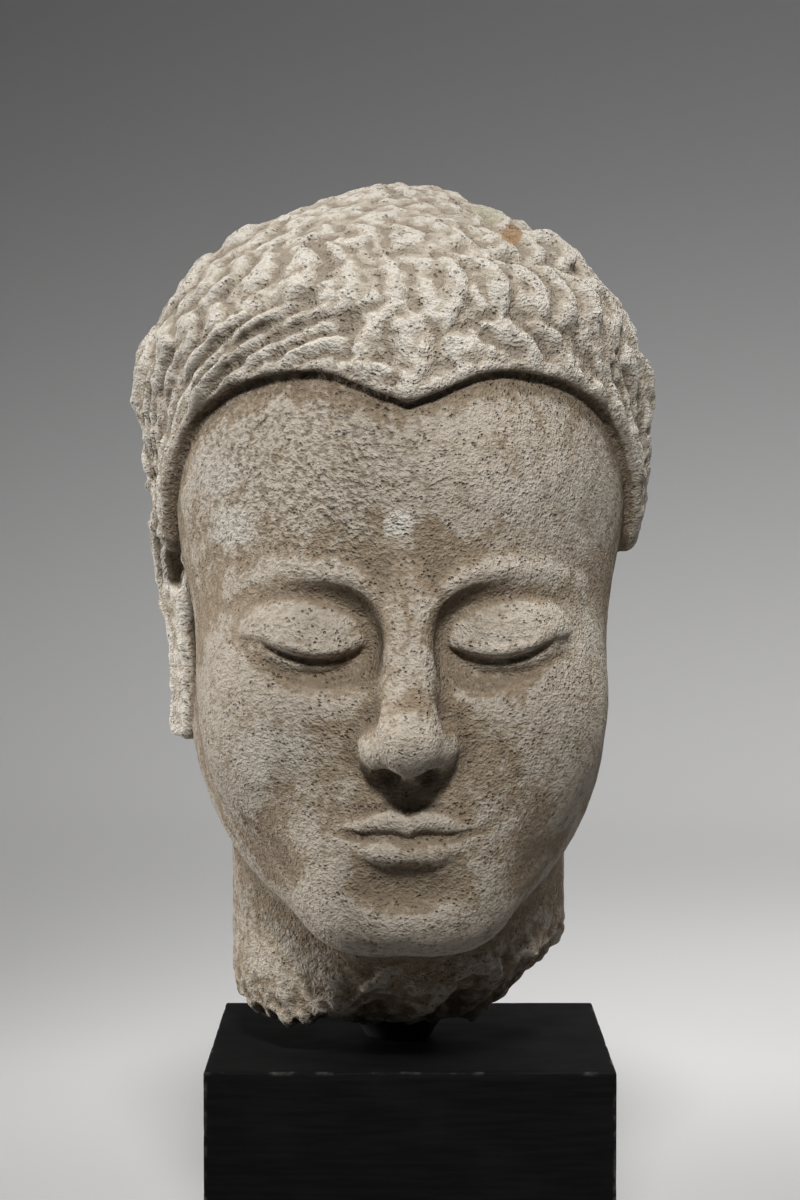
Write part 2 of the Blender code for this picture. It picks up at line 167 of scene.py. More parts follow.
def block_mesh():
    bm = bmesh.new()
    place = Matrix.Translation((0, 0, BLOCK_HEIGHT / 2))
    place = place @ Matrix.Diagonal((BLOCK_WIDTH, BLOCK_WIDTH, BLOCK_HEIGHT, 1))
    bmesh.ops.create_cube(bm, size=1, matrix=place)
    bmesh.ops.subdivide_edges(bm, edges=bm.edges[:], cuts=BLOCK_CUTS, use_grid_fill=True)
    arrises = [edge for edge in bm.edges if edge.calc_face_angle() > 1]
    ease(bm, arrises, BLOCK_EDGE)
    half = Vector((BLOCK_WIDTH / 2, BLOCK_WIDTH / 2, BLOCK_HEIGHT / 2))
    middle = Vector((0, 0, half.z))
    for vertex in bm.verts:
        gap = sorted(half[axis] - abs(vertex.co[axis] - middle[axis]) for axis in range(3))
        if gap[1] < 2 * BLOCK_EDGE and vertex.co.z > BLOCK_EDGE:
            wide = max(0, noise.noise(vertex.co * 90) - 0.15)
            small = max(0, noise.noise(vertex.co * 320) - 0.3)
            vertex.co += (middle - vertex.co).normalized() * BLOCK_DENT * (wide + small)
    return bm


def near_arris(add, where):
    """1 on the block's arrises, falling to 0 a millimetre and a half off them."""
    split = add("SeparateXYZ", {"Vector": where})
    sides = [calculate(add, "ABSOLUTE", split.outputs[axis]) for axis in (0, 1)]
    gaps = [calculate(add, "SUBTRACT", BLOCK_WIDTH / 2, side) for side in sides]
    gaps.append(calculate(add, "SUBTRACT", BLOCK_HEIGHT, split.outputs[2]))
    smallest = calculate(add, "MINIMUM", *gaps)
    largest = calculate(add, "MAXIMUM", *gaps)
    second = calculate(add, "SUBTRACT", calculate(add, "ADD", *gaps), smallest, largest)
    return between(add, second, 0.0003, 0.0016, 1, 0)


def black_paint():
    """Satin black paint over wood, with the grain telegraphing through and the arrises rubbed."""
    made, add, coat = start_finish("black_paint")
    where = add("TexCoord").outputs["Object"]
    grain = cloud(add, where, GRAIN_WIDTH, 4, (0.08, 1, 1))
    brushed = cloud(add, where, BRUSH_WIDTH, 2, (0.03, 1, 1))
    dust = cloud(add, where, DUST_SIZE, 5)
    rubbed = between(add, cloud(add, where, RUBBED_SIZE, 5), 0.5, 0.72)
    tone = blend(add, between(add, grain, 0.35, 0.7), *BLACKS)
    tone = blend(add, between(add, dust, 0.45, 0.8, 0, 0.3), tone, DUST_COLOUR)
    tone = blend(add, calculate(add, "MULTIPLY", near_arris(add, where), rubbed), tone, RUBBED_COLOUR)
    deep_grain = calculate(add, "MULTIPLY", grain, 0.7)
    height = calculate(add, "ADD", deep_grain, calculate(add, "MULTIPLY", brushed, 0.4))
    sheen = between(add, dust, 0.3, 0.8, 0.55, 0.75)
    coat({"Base Color": tone, "Roughness": sheen, "Normal": raised(add, height, PAINT_RELIEF)})
    coat({"Specular IOR Level": 0.07})
    return made


block = make_piece("block", mesh_of("block", block_mesh()), black_paint(), "mount_block")
block.data.shade_smooth()
block.data.set_sharp_from_angle(angle=math.radians(30))


# The post
# A short turned steel foot, tapered and painted black, screwed up into the block.
# It holds the break of the neck a few millimetres clear of the block.

POST_HEIGHT = 0.008
POST_TOP_RADIUS = 0.0165
POST_FOOT_RADIUS = 0.0115
POST_CHAMFER = 0.0005
SEAT_GAP = 0.0003
HEAD_SIDEWAYS = -0.004
POST_BLACKS = ((0.009, 0.009, 0.01, 1), (0.02, 0.019, 0.018, 1))
RING_WIDTH = 0.0006
RING_DEPTH = 0.00004
SMEAR_SIZE = 0.004


def post_mesh():
    bm = bmesh.new()
    place = Matrix.Translation((HEAD_SIDEWAYS, 0, BLOCK_HEIGHT + SEAT_GAP + POST_HEIGHT / 2))
    bmesh.ops.create_cone(bm, cap_ends=True, segments=96, radius1=POST_FOOT_RADIUS, radius2=POST_TOP_RADIUS,
                          depth=POST_HEIGHT, matrix=place)
    rims = [edge for edge in bm.edges if edge.calc_face_angle() > 1]
    ease(bm, rims, POST_CHAMFER)
    for face in bm.faces:
        face.smooth = True
    return bm


def post_paint():
    """Matt black paint on turned steel, with the lathe's fine rings just showing."""
    made, add, coat = start_finish("post_paint")
    where = add("TexCoord").outputs["Object"]
    rings = cloud(add, where, RING_WIDTH, 2, (0.05, 0.05, 1))
    tone = blend(add, between(add, cloud(add, where, SMEAR_SIZE, 4), 0.4, 0.7), *POST_BLACKS)
    sheen = between(add, rings, 0.3, 0.7, 0.4, 0.55)
    coat({"Base Color": tone, "Roughness": sheen, "Normal": raised(add, rings, RING_DEPTH)})
    return made


make_piece("post", mesh_of("post", post_mesh()), post_paint(), "mount_post")


# The head
# A life-size head modelled in lime and clay stucco, smoothed by hand, its hair carved before it set.
# The neck is broken across, one ear is lost, and the skin is pitted, limed and stained with age.
# Its forms are given in fingers, twelve from hairline to chin, from an origin between the eyes.

# The face's height in metres, the nod and turn in degrees, and the flat margin round the post
FACE_HEIGHT = 0.1855
FINGER = FACE_HEIGHT / 12
HEAD_NOD = 4.0
HEAD_TURN = 1.8
SEAT_MARGIN = 0.002

# The face: the levels of its parts, the eyes' place and width, the lids and the line between them
NOSE_LEVEL = -3.05
MOUTH_LEVEL = -4.38
EYE_OUT = 2.0
EYE_LEVEL = -0.15
EYE_HALF_WIDTH = 1.15
LID_DEPTH = 0.2
LID_SLIT = 0.12

# The neck: half its width and depth, how far back its middle is, and its lowest level
NECK_HALF_WIDTH = 3.85
NECK_HALF_DEPTH = 3.7
NECK_BACK = 0.8
NECK_BOTTOM = -9.7

# The hair: the thickness of its edge and how far it swells from there
HAIR_EDGE = 0.34
HAIR_SWELL = 0.55

# The locks: their height, width, bow and length, and how far they are from the middle of the skull
LOCK_RELIEF = 0.25
LOCK_PITCH = 1.0
LOCK_BOW = 0.62
COURSE = 1.45
CROWN_REACH = 6.8
SKULL_MIDDLE = (0, 0.8, 1.9)

# The curls at the parting: sideways, up from the hairline, half length, half width, lean in degrees and bow
CURLS = (
    (-0.75, 1.0, 0.85, 0.42, -28, -0.2),
    (1.15, 0.6, 0.8, 0.48, 74, 0.15),
    (2.25, 0.6, 0.85, 0.48, 62, 0.12),
    (3.3, 0.62, 0.8, 0.44, 48, 0.12),
    (0.75, 1.85, 0.8, 0.44, 12, 0.45),
    (1.7, 1.7, 0.8, 0.42, 25, 0.4),
    (-0.5, 2.1, 0.8, 0.42, 5, 0.45),
    (-1.45, 1.95, 0.8, 0.4, 5, 0.45),
    (0.0, 0.78, 0.85, 0.7, 4, 0.22),
)

# The carving's cells in metres and its passes over each, from rough to finished, and the faces kept
CARVINGS = ((0.0045, 20), (0.0021, 8), (0.00105, 3))
HEAD_TRIANGLES = 192000


def length(vectors):
    return np.sqrt((vectors * vectors).sum(axis=-1))


def join(a, b, round_by):
    """The nearer of two surfaces, with the valley between them filled to that radius."""
    share = np.clip(0.5 + 0.5 * (b - a) / round_by, 0, 1)
    return b + (a - b) * share - round_by * share * (1 - share)


def cut(a, b, round_by):
    """Surface a with b taken out of it, the rim rounded to that radius."""
    return -join(-a, b, round_by)


def ramp(values, start, end):
    """The values eased from 0 at start to 1 at end."""
    share = np.clip((values - start) / (end - start), 0, 1)
    return share * share * (3 - 2 * share)


def egg(points, centre, radii):
    """Distance to the surface of an egg, about. It is negative inside, as in every form here."""
    scaled = (points - centre) / radii
    reach = length(scaled)
    return reach * (reach - 1) / np.maximum(length(scaled / radii), 1e-9)


def limb(points, start, end):
    """A round bar between two stations, each x, y, z and radius."""
    a, b = np.array(start[:3]), np.array(end[:3])
    along = b - a
    share = np.clip((points - a) @ along / (along @ along), 0, 1)
    radius = start[3] + (end[3] - start[3]) * share
    return length(points - a - share[:, None] * along) - radius


def roll(points, stations):
    """Round bars end to end through the stations."""
    found = limb(points, stations[0], stations[1])
    for start, end in zip(stations[1:], stations[2:]):
        found = np.minimum(found, limb(points, start, end))
    return found


def curve_through(values, knots):
    """A smooth curve through (value, height) knots."""
    xs, ys = np.array(knots, float).T
    slopes = np.gradient(ys, xs)
    i = np.clip(np.searchsorted(xs, values) - 1, 0, len(xs) - 2)
    span = xs[i + 1] - xs[i]
    t = np.clip((values - xs[i]) / span, 0, 1)
    return (
        ys[i] * (1 + 2 * t) * (1 - t) ** 2
        + slopes[i] * span * t * (1 - t) ** 2
        + ys[i + 1] * t * t * (3 - 2 * t)
        + slopes[i + 1] * span * t * t * (t - 1)
    )


def skull_form(points):
    """The skull, face and jaw before any feature is cut. Points are mirrored to the +X side."""
    form = egg(points, (0, 0.75, 2.6), (5.2, 6.35, 5.55))
    form = join(form, egg(points, (0, -1.15, -1.5), (4.62, 4.65, 5.75)), 1.0)
    form = join(form, limb(points, (3.35, 0.6, -3.2, 1.0), (1.3, -4.1, -6.0, 0.9)), 1.8)
    form = join(form, egg(points, (0, -4.5, -5.95), (1.6, 1.25, 1.15)), 1.3)
    return join(form, egg(points, (2.5, -3.45, -2.1), (1.6, 1.5, 2.2)), 1.4)


# The fullness round the mouth: centre and radii
MUZZLE = ((0, -4.6, MOUTH_LEVEL + 0.1), (2.2, 1.05, 1.7))


def muzzle_form(points):
    """The skull with the fullness round the mouth."""
    return join(skull_form(points), egg(points, *MUZZLE), 1.0)


def seated(form, knots, count=11):
    """A smooth row of stations through (x, z, radius, proud) knots, each that proud of the form."""
    places, *columns = np.array(knots, float).T
    across = np.linspace(places[0], places[-1], count)
    levels, radii, prouds = (curve_through(across, list(zip(places, column))) for column in columns)
    depths = np.linspace(-8, 0, 801)
    found = []
    for x, z, radius, proud in zip(across, levels, radii, prouds):
        sight_line = np.stack([np.full_like(depths, x), depths, np.full_like(depths, z)], axis=1)
        front = depths[np.argmax(form(sight_line) < 0)]
        found.append((x, front - proud + radius, z, radius))
    return found


# The brow, the lips and the line between them: sideways, level, radius and how far it stands proud
BROW = seated(skull_form, (
    (0.45, 0.0, 0.2, 0.26),
    (0.9, 0.78, 0.16, 0.2),
    (1.7, 1.15, 0.13, 0.12),
    (2.7, 1.12, 0.1, 0.0),
    (3.6, 0.7, 0.1, -0.3),
), 14)
UPPER_LIP = seated(muzzle_form, (
    (0, MOUTH_LEVEL + 0.24, 0.23, 0.24),
    (0.3, MOUTH_LEVEL + 0.33, 0.22, 0.25),
    (0.8, MOUTH_LEVEL + 0.24, 0.2, 0.17),
    (1.7, MOUTH_LEVEL + 0.12, 0.06, -0.12),
))
LOWER_LIP = seated(muzzle_form, (
    (0, MOUTH_LEVEL - 0.44, 0.34, 0.25),
    (0.55, MOUTH_LEVEL - 0.4, 0.31, 0.21),
    (1.1, MOUTH_LEVEL - 0.2, 0.2, 0.04),
    (1.6, MOUTH_LEVEL + 0.02, 0.08, -0.12),
))
PARTING = seated(muzzle_form, (
    (0, MOUTH_LEVEL - 0.07, 0.07, 0.25),
    (0.35, MOUTH_LEVEL - 0.01, 0.07, 0.24),
    (0.9, MOUTH_LEVEL - 0.03, 0.07, 0.14),
    (1.75, MOUTH_LEVEL + 0.16, 0.05, -0.04),
))


def brow_and_socket(form, points):
    """The arched brow and the hollow under it."""
    form = join(form, roll(points, BROW), 0.5)
    return cut(form, egg(points, (EYE_OUT, -6.2, -0.22), (1.85, 1.5, 1.26)), 0.4)


def lid_edge(across):
    """Level of the upper lid's drooping edge, from -1 at the inner corner to 1 at the outer one."""
    return EYE_LEVEL - 0.14 - 0.3 * (1 - across * across) + 0.08 * across


def eye(form, points):
    """The lowered lids over the eyeball: the upper stands proud of the lower, a fine line between."""
    centre, radii = (EYE_OUT, -4.3, EYE_LEVEL - 0.13), (1.36, 1.0, 0.88)
    across = np.clip((points[:, 0] - EYE_OUT) / EYE_HALF_WIDTH, -1, 1)
    over_edge = points[:, 2] - lid_edge(across)
    lids = LID_DEPTH * (0.55 + 0.45 * ramp(over_edge, -0.1, 0.04))
    rim = 0.5 * LID_DEPTH * np.exp(-((over_edge - 0.14) / 0.12) ** 2)
    line = LID_SLIT * np.exp(-((over_edge + 0.1) / 0.08) ** 2)
    return join(form, egg(points, centre, radii) - lids - (rim - line) * (1 - across ** 4), 0.12)


def nose(form, points):
    """A straight bridge that widens downwards, the tip, the wings and the two nostrils."""
    form = join(form, limb(points, (0, -5.25, 0.9, 0.42), (0, -6.4, -2.1, 0.62)), 0.5)
    form = join(form, egg(points, (0, -6.5, -2.3), (0.64, 0.78, 0.6)), 0.4)
    form = join(form, egg(points, (0.6, -5.75, -2.48), (0.46, 0.8, 0.46)), 0.3)
    form = join(form, limb(points, (0, -6.7, -2.6, 0.24), (0, -5.6, NOSE_LEVEL + 0.08, 0.26)), 0.25)
    return cut(form, egg(points, (0.42, -6.05, NOSE_LEVEL), (0.24, 0.42, 0.28)), 0.12)


def mouth(form, points):
    """The two lips, the line between them and the hollows above and below."""
    form = join(form, egg(points, *MUZZLE), 1.0)
    groove = limb(points, (0, -6.12, NOSE_LEVEL - 0.2, 0.16), (0, -6.32, MOUTH_LEVEL + 0.5, 0.2))
    form = cut(form, groove, 0.25)
    form = join(form, roll(points, UPPER_LIP), 0.14)
    form = join(form, roll(points, LOWER_LIP), 0.14)
    form = cut(form, roll(points, PARTING), 0.1)
    return cut(form, egg(points, (0, -6.25, MOUTH_LEVEL - 1.2), (1.4, 0.72, 0.5)), 0.6)


def neck(points):
    """An oval neck, its edge crumbled away towards the break."""
    x, y = points[:, 0] / NECK_HALF_WIDTH, (points[:, 1] - NECK_BACK) / NECK_HALF_DEPTH
    spread = 1 - 0.06 * ramp(-points[:, 2], 8.3, 9.9)
    return (np.sqrt(x * x + y * y) - spread) * NECK_HALF_DEPTH


# The edge of the hair, from the peak over the brow to the nape: degrees round the head and level
HAIR_EDGE_KNOTS = ((0, 4.78), (6, 5.0), (17, 5.37), (32, 5.3), (48, 4.82), (62, 3.9), (72, 2.6), (80, 1.35),
                   (85, 1.15), (90, 2.0), (98, 2.7), (108, 2.1), (118, 0.2), (135, -1.6), (160, -2.7),
                   (180, -3.0))
SKULL_RADIUS = 5.3


def hairline(points):
    """How far a point is above the edge of the hair, in fingers."""
    turn = np.degrees(np.arctan2(np.abs(points[:, 0]), -(points[:, 1] - 0.75)))
    before, height, after = (curve_through(turn + step, HAIR_EDGE_KNOTS) for step in (-1, 0, 1))
    steepness = (after - before) / 2 / (SKULL_RADIUS * math.radians(1))
    return (points[:, 2] - height) / np.sqrt(1 + steepness * steepness)


def hair_cap(base, points):
    """The hair: a thin edge that swells into a full dome, with the low mound on top."""
    above = hairline(points)
    dome = join(egg(points, (0, 0.85, 3.15), (5.72, 6.8, 5.6)),
                egg(points, (-0.15, 0.9, 4.55), (5.75, 6.3, 4.6)), 0.3)
    swell = HAIR_SWELL * (1 - ramp(above, 0.1, 1.9))
    cap = cut(join(base - HAIR_EDGE, dome + swell, 0.3), above, 0.2)
    return join(cap, egg(points, (0, 1.1, 6.9), (2.5, 2.8, 2.4)), 0.7)


# The ear's rolled rim and its inner ridge: out, back, up and radius
EAR_RIM = (
    (0.25, -0.55, 0.1, 0.16),
    (0.3, -0.6, 0.75, 0.2),
    (0.35, -0.1, 1.35, 0.22),
    (0.4, 0.75, 1.2, 0.23),
    (0.4, 1.15, 0.5, 0.22),
    (0.35, 1.05, -0.4, 0.2),
    (0.3, 0.7, -1.2, 0.2),
)
EAR_RIDGE = (
    (0.35, 0.3, 0.75, 0.13),
    (0.4, 0.6, 0.1, 0.15),
    (0.38, 0.4, -0.7, 0.16),
    (0.3, -0.1, -0.95, 0.16),
)


def ear(points):
    """A long-lobed ear, its plate standing off the head along its back edge."""
    q = points - np.array((4.75, 1.0, 0.9))
    lean = math.radians(24)
    out = q[:, 0] * math.cos(lean) - q[:, 1] * math.sin(lean)
    back = q[:, 0] * math.sin(lean) + q[:, 1] * math.cos(lean)
    q = np.stack([out, back, q[:, 2]], axis=1)
    plate = egg(q, (0.15, 0.3, 0), (0.32, 1.15, 1.5))
    lobe = roll(q, [(0.15, 0.35, -0.8, 0.5), (0.15, 0.05, -2.2, 0.48), (0.1, 0.0, -3.7, 0.55)])
    lobe = np.maximum(lobe, np.abs(q[:, 0] - 0.12) - 0.3)
    form = join(plate, lobe, 0.3)
    form = cut(form, egg(q, (0.55, 0.15, 0.05), (0.42, 0.68, 0.95)), 0.12)
    form = join(form, roll(q, EAR_RIM), 0.12)
    return join(form, roll(q, EAR_RIDGE), 0.12)


def nodded(points):
    """Points of the upright frame, in fingers, as the tilted and turned head sees them."""
    turn = Matrix.Rotation(math.radians(HEAD_TURN), 3, "Z")
    nod = Matrix.Rotation(math.radians(HEAD_NOD), 3, "X")
    pivot = np.array((0, NECK_BACK, -4.0))
    return (points - pivot) @ np.array(turn @ nod) + pivot


# The raised dot on the brow and the scar of the lost ear: centre and radii
BROW_DOT = ((0, -5.42, 1.8), (0.38, 0.2, 0.38))
EAR_SCAR = ((4.38, 1.1, -0.2), (0.42, 0.75, 2.3))


def head_form(points):
    """Signed distance to the head's surface, about, in fingers."""
    q = nodded(points)
    mirrored = np.abs(q) * (1, 0, 0) + q * (0, 1, 1)
    base = join(skull_form(mirrored), np.maximum(neck(points), q[:, 2] + 1.5), 0.55)
    form = base.copy()
    front = np.flatnonzero((q[:, 1] < -2) & (q[:, 2] > -7) & (q[:, 2] < 2.5))
    for feature in (brow_and_socket, mouth, eye, nose):
        form[front] = feature(form[front], mirrored[front])
    form = join(form, egg(q, *BROW_DOT), 0.05)
    form = join(form, hair_cap(base, q), 0.06)
    side = np.flatnonzero(q[:, 0] < -3)
    form[side] = join(form[side], ear(q[side] * (-1, 1, 1)), 0.12)
    beside = (np.abs(q[:, 1] - 1.1) < 1.6) & (np.abs(q[:, 2] + 0.2) < 3.2)
    scar = np.flatnonzero((q[:, 0] > 3) & beside)
    broken = egg(q[scar], *EAR_SCAR) + 0.14 * fractal(q[scar], 1.9)
    form[scar] = join(form[scar], broken, 0.15)
    low = np.flatnonzero(points[:, 2] < NECK_BOTTOM + 3)
    form[low] = np.maximum(form[low], broken_edge(points[low]) - points[low, 2])
    return form


def broken_edge(points):
    """Level of the break under the neck: flat over the post, rising to a ragged rim."""
    x, y = points[:, 0], points[:, 1] - NECK_BACK
    out = np.hypot(x, y)
    seat = (POST_TOP_RADIUS + SEAT_MARGIN) / FINGER
    rise = np.clip((out - seat) / (NECK_HALF_WIDTH - seat), 0, 1.3) ** 1.5
    rough = fractal(points * (1, 1, 0), 0.9) * 0.45 + fractal(points * (1, 1, 0), 2.6) * 0.2
    rim = 1.25 + 0.75 * x / np.maximum(out, 0.1) + 0.15 * y / np.maximum(out, 0.1)
    return NECK_BOTTOM + rise * rim + rough * ramp(out, seat, seat + 0.8)


def fractal(points, scale):
    """Soft random heights from about -1 to 1, closer together the larger the scale."""
    return np.array([noise.noise(Vector(point)) for point in points * scale])


def chance(place, row):
    """A number from 0 to 1 that is always the same for one lock of one row."""
    return np.modf(np.abs(np.sin(place * 12.9898 + row * 78.233)) * 43758.5453)[0]


def ridge(share, crest):
    """The height across one lock: a long slope up to the crest, then a short steep one."""
    up = np.where(share < crest, share / crest, (1 - share) / (1 - crest))
    return up * up * (3 - 2 * up)


def ends(along, taper):
    """The height along one lock, which falls away at both ends. Along runs from -0.5 to 0.5."""
    return 0.25 + 0.75 * ramp(1 - np.abs(2 * along), 0, taper)


def courses(turn, fall, reach, drift, warp):
    """Rings of locks down from the crown, every lock bowed towards +X like a closing bracket."""
    depth = fall * reach / COURSE + 0.3 * drift - 0.2
    row = np.floor(depth)
    along = depth - row - 0.5
    middle = (row + 0.7) * COURSE / CROWN_REACH
    round_head = 2 * math.pi * CROWN_REACH * np.sin(np.clip(middle, 0.2, 2.6))
    count = np.maximum(6, np.round(round_head / LOCK_PITCH))
    bow = LOCK_BOW * (1 - 4 * along * along)
    phase = turn / (2 * math.pi) * count + 0.5 * row - bow + 0.4 * warp
    place = np.floor(phase)
    height = 0.65 + 0.45 * chance(place % count, row)
    return height * ridge(phase - place, 0.7) * ends(along, 0.5) * (0.3 + 0.7 * ramp(fall, 0.2, 0.65))


def fringe(side, out, above, drift, warp):
    """The locks along the hairline: long strands swept back on -X, shorter curls on +X."""
    left = side < 0
    slope, pitch, run = np.where(left, 0.3, 0.75), np.where(left, 0.38, 0.66), np.where(left, 2.8, 1.5)
    phase = (above + slope * out + 0.12 * drift) / (pitch * np.sqrt(1 + slope * slope))
    row = np.floor(phase)
    stretch = out / run + 0.5 * (row % 2) + 0.3 * warp
    place = np.floor(stretch)
    height = 0.5 + 0.5 * chance(place + side * 3, row)
    return height * ridge(phase - row, 0.6) * ends(stretch - place - 0.5, 0.5)


def lock_relief(points, above):
    """Height of the carved locks over the cap, as a share of the tallest."""
    q = points - np.array(SKULL_MIDDLE)
    turn = np.arctan2(q[:, 0], -q[:, 1])
    level = np.hypot(q[:, 0], q[:, 1])
    drift, warp = fractal(q, 0.4), fractal(q + 9, 0.55)
    side, out = np.sign(q[:, 0]), np.abs(turn) * level
    in_front = 1 - ramp(np.abs(turn), math.radians(70), math.radians(90))
    height = courses(turn, np.arctan2(level, q[:, 2]), length(q), drift, warp)
    near_edge = in_front * (1 - ramp(above + 0.2 * drift - 0.25 * (side < 0), 1.0, 1.35))
    height = height * (1 - near_edge) + fringe(side, out, above, drift, warp) * near_edge
    for x, lift, half, width, lean, bow in CURLS:
        a, b = q[:, 0] - x, lift - above
        lean = math.radians(lean)
        near = np.flatnonzero((np.abs(a) < 1.6) & (np.abs(b) < 1.6) & (q[:, 1] < 0))
        across = a[near] * math.cos(lean) - b[near] * math.sin(lean)
        along = a[near] * math.sin(lean) + b[near] * math.cos(lean)
        curl, cover = crescent(across, along, half, width, bow)
        height[near] = height[near] * (1 - cover) + curl
    return height


def crescent(across, along, half, width, bow):
    """One bowed lock seen from above: its height, and how far it hides what is under it."""
    share = np.clip(along / half, -1, 1)
    leaf = 1 - share * share
    side = np.clip((across - bow * (leaf - 0.5)) / (width * (0.35 + 0.65 * leaf)), -1, 1)
    cover = (1 - side * side) * leaf
    return 1.15 * ridge((side + 1) / 2, 0.56) * np.sqrt(leaf), np.clip(2 * cover, 0, 1)


def evaluated(mesh, kind, **settings):
    """A new mesh: this one after a modifier of that kind."""
    holder = bpy.data.objects.new("carving", mesh)
    scene.collection.objects.link(holder)
    modifier = holder.modifiers.new(kind.title(), kind)
    for name, value in settings.items():
        setattr(modifier, name, value)
    made = bpy.data.meshes.new_from_object(holder.evaluated_get(bpy.context.evaluated_depsgraph_get()))
    bpy.data.objects.remove(holder)
    return made


def coordinates(mesh):
    found = np.empty(len(mesh.vertices) * 3, np.float32)
    mesh.vertices.foreach_get("co", found)
    return found.reshape(-1, 3).astype(float)


def set_coordinates(mesh, points):
    mesh.vertices.foreach_set("co", points.astype(np.float32).ravel())
    mesh.update()


def normals(mesh):
    found = np.empty(len(mesh.vertices) * 3, np.float32)
    mesh.vertex_normals.foreach_get("vector", found)
    return found.reshape(-1, 3).astype(float)


def onto(form, points, reach=0.25, probe=0.02):
    """The points moved towards the form's surface, along its slope, by at most that reach."""
    distance = form(points)
    slope = np.stack([form(points + probe * axis) - distance for axis in np.eye(3)], axis=1) / probe
    steep = np.maximum(length(slope), 0.35)[:, None]
    return points - np.clip(distance[:, None] / steep, -reach, reach) * slope / steep


def carve(mesh, form, passes):
    """Brings every vertex onto the form's surface, evening out their spacing on the way."""
    points = coordinates(mesh)
    here, there, around = neighbours(mesh)
    for _ in range(passes):
        sums = [np.bincount(here, points[there, axis], len(points)) for axis in range(3)]
        points = 0.5 * points + 0.5 * np.stack(sums, axis=1) / around[:, None]
        points = onto(form, points)
    set_coordinates(mesh, onto(form, points))


# The lumps of stucco to carve from: skull, jaw, front of the face, nose, ear and its lobe
ROUGH_LUMPS = (
    ((0, 0.75, 2.9), (6.3, 7.5, 7.1)),
    ((0, -1.2, -1.6), (5.3, 5.4, 6.2)),
    ((0, -4.4, -1.6), (3.6, 2.6, 5.4)),
    ((0, -6.0, -2.0), (1.4, 1.7, 2.4)),
    ((-5.3, 1.2, 0.9), (1.5, 2.0, 2.3)),
    ((-5.2, 1.1, -2.0), (1.3, 1.4, 2.4)),
)


def rough_block():
    """Overlapping solids, in fingers, that just hold the head and neck, to be carved down."""
    bm = bmesh.new()
    for centre, radii in ROUGH_LUMPS:
        place = Matrix.Translation(centre) @ Matrix.Diagonal((*radii, 1))
        bmesh.ops.create_icosphere(bm, subdivisions=4, radius=1, matrix=place)
    height = -NECK_BOTTOM - 2.7
    radius = max(NECK_HALF_WIDTH, NECK_HALF_DEPTH) + 0.25
    place = Matrix.Translation((0, NECK_BACK, NECK_BOTTOM + height / 2))
    bmesh.ops.create_cone(bm, cap_ends=True, segments=48, radius1=radius, radius2=radius, depth=height,
                          matrix=place)
    return mesh_of("rough", bm)


def head_mesh():
    mesh = rough_block()
    for cell, passes in CARVINGS:
        mesh = evaluated(mesh, "REMESH", mode="VOXEL", voxel_size=cell / FINGER)
        carve(mesh, head_form, passes)
    points = coordinates(mesh)
    q = nodded(points)
    above = hairline(q)
    wear = 0.85 + 0.9 * fractal(q, 0.5)
    relief = LOCK_RELIEF * wear * lock_relief(q, above) * ramp(above, -0.02, 0.25)
    set_coordinates(mesh, points + normals(mesh) * relief[:, None])
    weather(mesh, q, above)
    mesh = evaluated(mesh, "DECIMATE", ratio=HEAD_TRIANGLES / (2 * len(mesh.polygons)))
    mark_relief(mesh)
    return mesh


# Where the stucco is rough, in fingers: the break under the neck, the hair, the ear and the plain skin
BREAK_ROUGHNESS = 0.1
HAIR_ROUGHNESS = 0.065
EAR_ROUGHNESS = 0.05
SKIN_ROUGHNESS = 0.012


def weather(mesh, q, above):
    """Roughens the finished skin along its normals, most of all at the break."""
    points = coordinates(mesh)
    coarse, fine = fractal(points, 1.7), fractal(points, 4.1)
    low = (points[:, 2] < NECK_BOTTOM + 3) & (points[:, 1] > NECK_BACK - NECK_HALF_DEPTH - 0.2)
    height = np.full(len(points), 3.0)
    height[low] = points[low, 2] - broken_edge(points[low])
    left = 0.7 + 0.5 * ramp(-points[:, 0], 0, 3)
    near_break = 1 - ramp(height, 0.1 * left, 0.9 * left)
    in_hair = ramp(above, 0.0, 0.3)
    on_ear = ramp(-q[:, 0], 4.5, 4.8) * (1 - in_hair) * ramp(q[:, 1], 0.0, 0.4)
    amount = SKIN_ROUGHNESS + BREAK_ROUGHNESS * near_break
    amount = amount + HAIR_ROUGHNESS * in_hair + EAR_ROUGHNESS * on_ear
    rough = (coarse + 0.8 * fine) * amount
    set_coordinates(mesh, points + normals(mesh) * rough[:, None])
    put_attribute(mesh, "limy", np.maximum(in_hair, on_ear))


def put_attribute(mesh, name, values):
    mark = mesh.attributes.new(name, "FLOAT", "POINT")
    mark.data.foreach_set("value", values.astype(np.float32))


def neighbours(mesh):
    """For every edge both ways round, the vertex at each end, and the number of edges at each vertex."""
    found = np.empty(len(mesh.edges) * 2, np.int32)
    mesh.edges.foreach_get("vertices", found)
    pairs = found.reshape(-1, 2)
    here, there = np.concatenate([pairs, pairs[:, ::-1]]).T
    return here, there, np.bincount(here, minlength=len(mesh.vertices))


def mark_relief(mesh):
    """Stores how far each vertex stands over its surroundings, for the lime on the crests and the painted
    shade in the hollows.
    """
    here, there, around = neighbours(mesh)
    points = smoothed = coordinates(mesh)
    facing = normals(mesh)
    for name, rounds, full in (("fine_relief", 12, 0.03), ("broad_relief", 60, 0.12)):
        for _ in range(rounds):
            sums = [np.bincount(here, smoothed[there, axis], len(points)) for axis in range(3)]
            smoothed = np.stack(sums, axis=1) / around[:, None]
        proud = ((points - smoothed) * facing).sum(axis=1) / full
        put_attribute(mesh, name, np.clip(proud, -1, 1))
